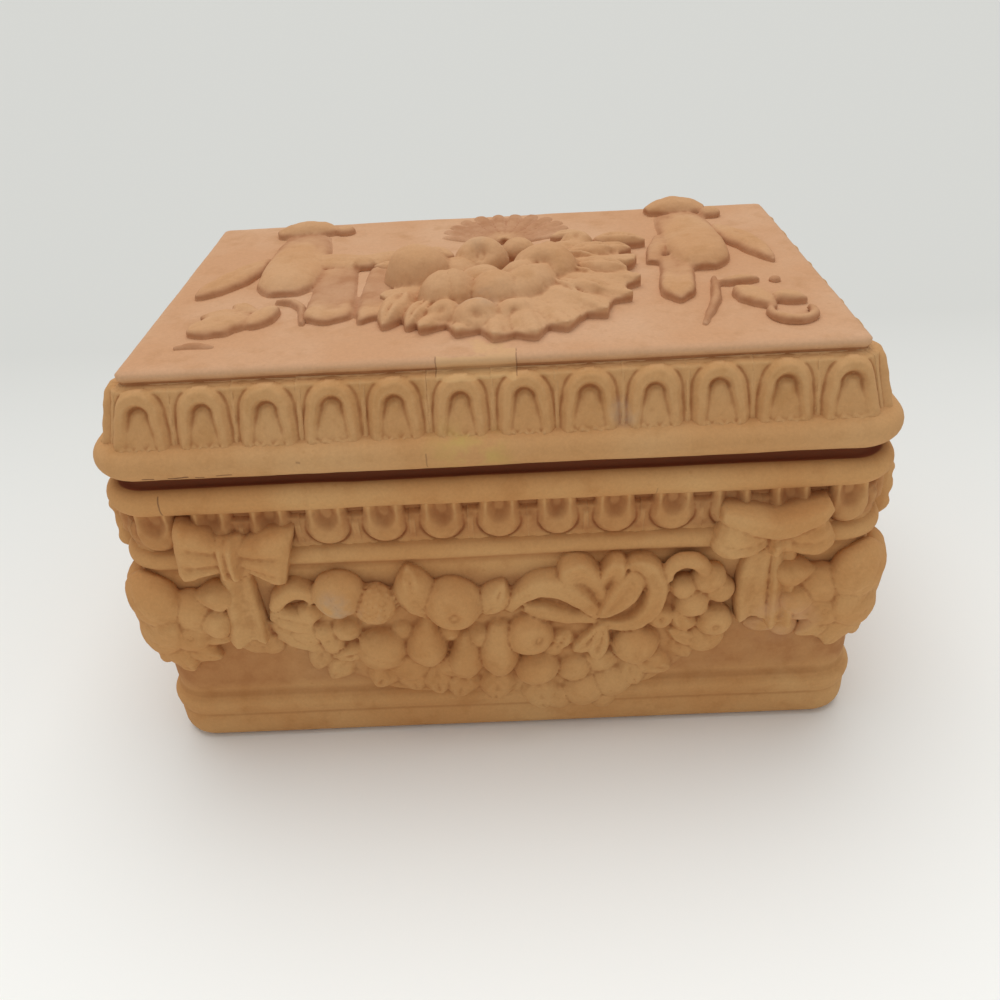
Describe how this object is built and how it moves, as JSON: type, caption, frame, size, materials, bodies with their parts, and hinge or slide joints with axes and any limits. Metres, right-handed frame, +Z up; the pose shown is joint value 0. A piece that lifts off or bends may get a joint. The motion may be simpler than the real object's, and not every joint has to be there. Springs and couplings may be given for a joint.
{
  "type": "clay box",
  "caption": "Rectangular unglazed clay casket with a lift-off lid, arch and tongue friezes round it, and applied fruit, ribbons and leaves in relief.",
  "frame": {"origin": "middle of the flat underside", "axes": "+X along the width, +Y to the back, +Z up; the front faces -Y"},
  "size_m": [0.2742, 0.1842, 0.1624],
  "materials": {
    "body_clay": "unglazed, matt, weathered",
    "corner_clay": "unglazed, matt, weathered",
    "lid_clay": "unglazed, matt, weathered"
  },
  "bodies": {
    "box": {"box_body": "body_clay", "front_garland": "body_clay", "back_garland": "body_clay", "left_garland": "body_clay", "right_garland": "body_clay", "front_left_bow": "body_clay", "front_right_bow": "body_clay", "back_left_bow": "body_clay", "back_right_bow": "body_clay", "left_front_bow": "body_clay", "left_back_bow": "body_clay", "right_front_bow": "body_clay", "right_back_bow": "body_clay", "front_left_cluster": "corner_clay", "front_right_cluster": "corner_clay", "back_left_cluster": "corner_clay", "back_right_cluster": "corner_clay"},
    "lid": {"lid_shell": "lid_clay", "lid_fruit_pile": "lid_clay", "lid_fan": "lid_clay", "lid_left_ribbon": "lid_clay", "lid_right_ribbon": "lid_clay", "lid_left_spray": "lid_clay", "lid_right_spray": "lid_clay"}
  },
  "joints": [
    {"name": "lid_lift", "type": "slide", "parent": "box", "child": "lid", "axis": [0, 0, 1], "range_m": [0, 0.15]}
  ]
}
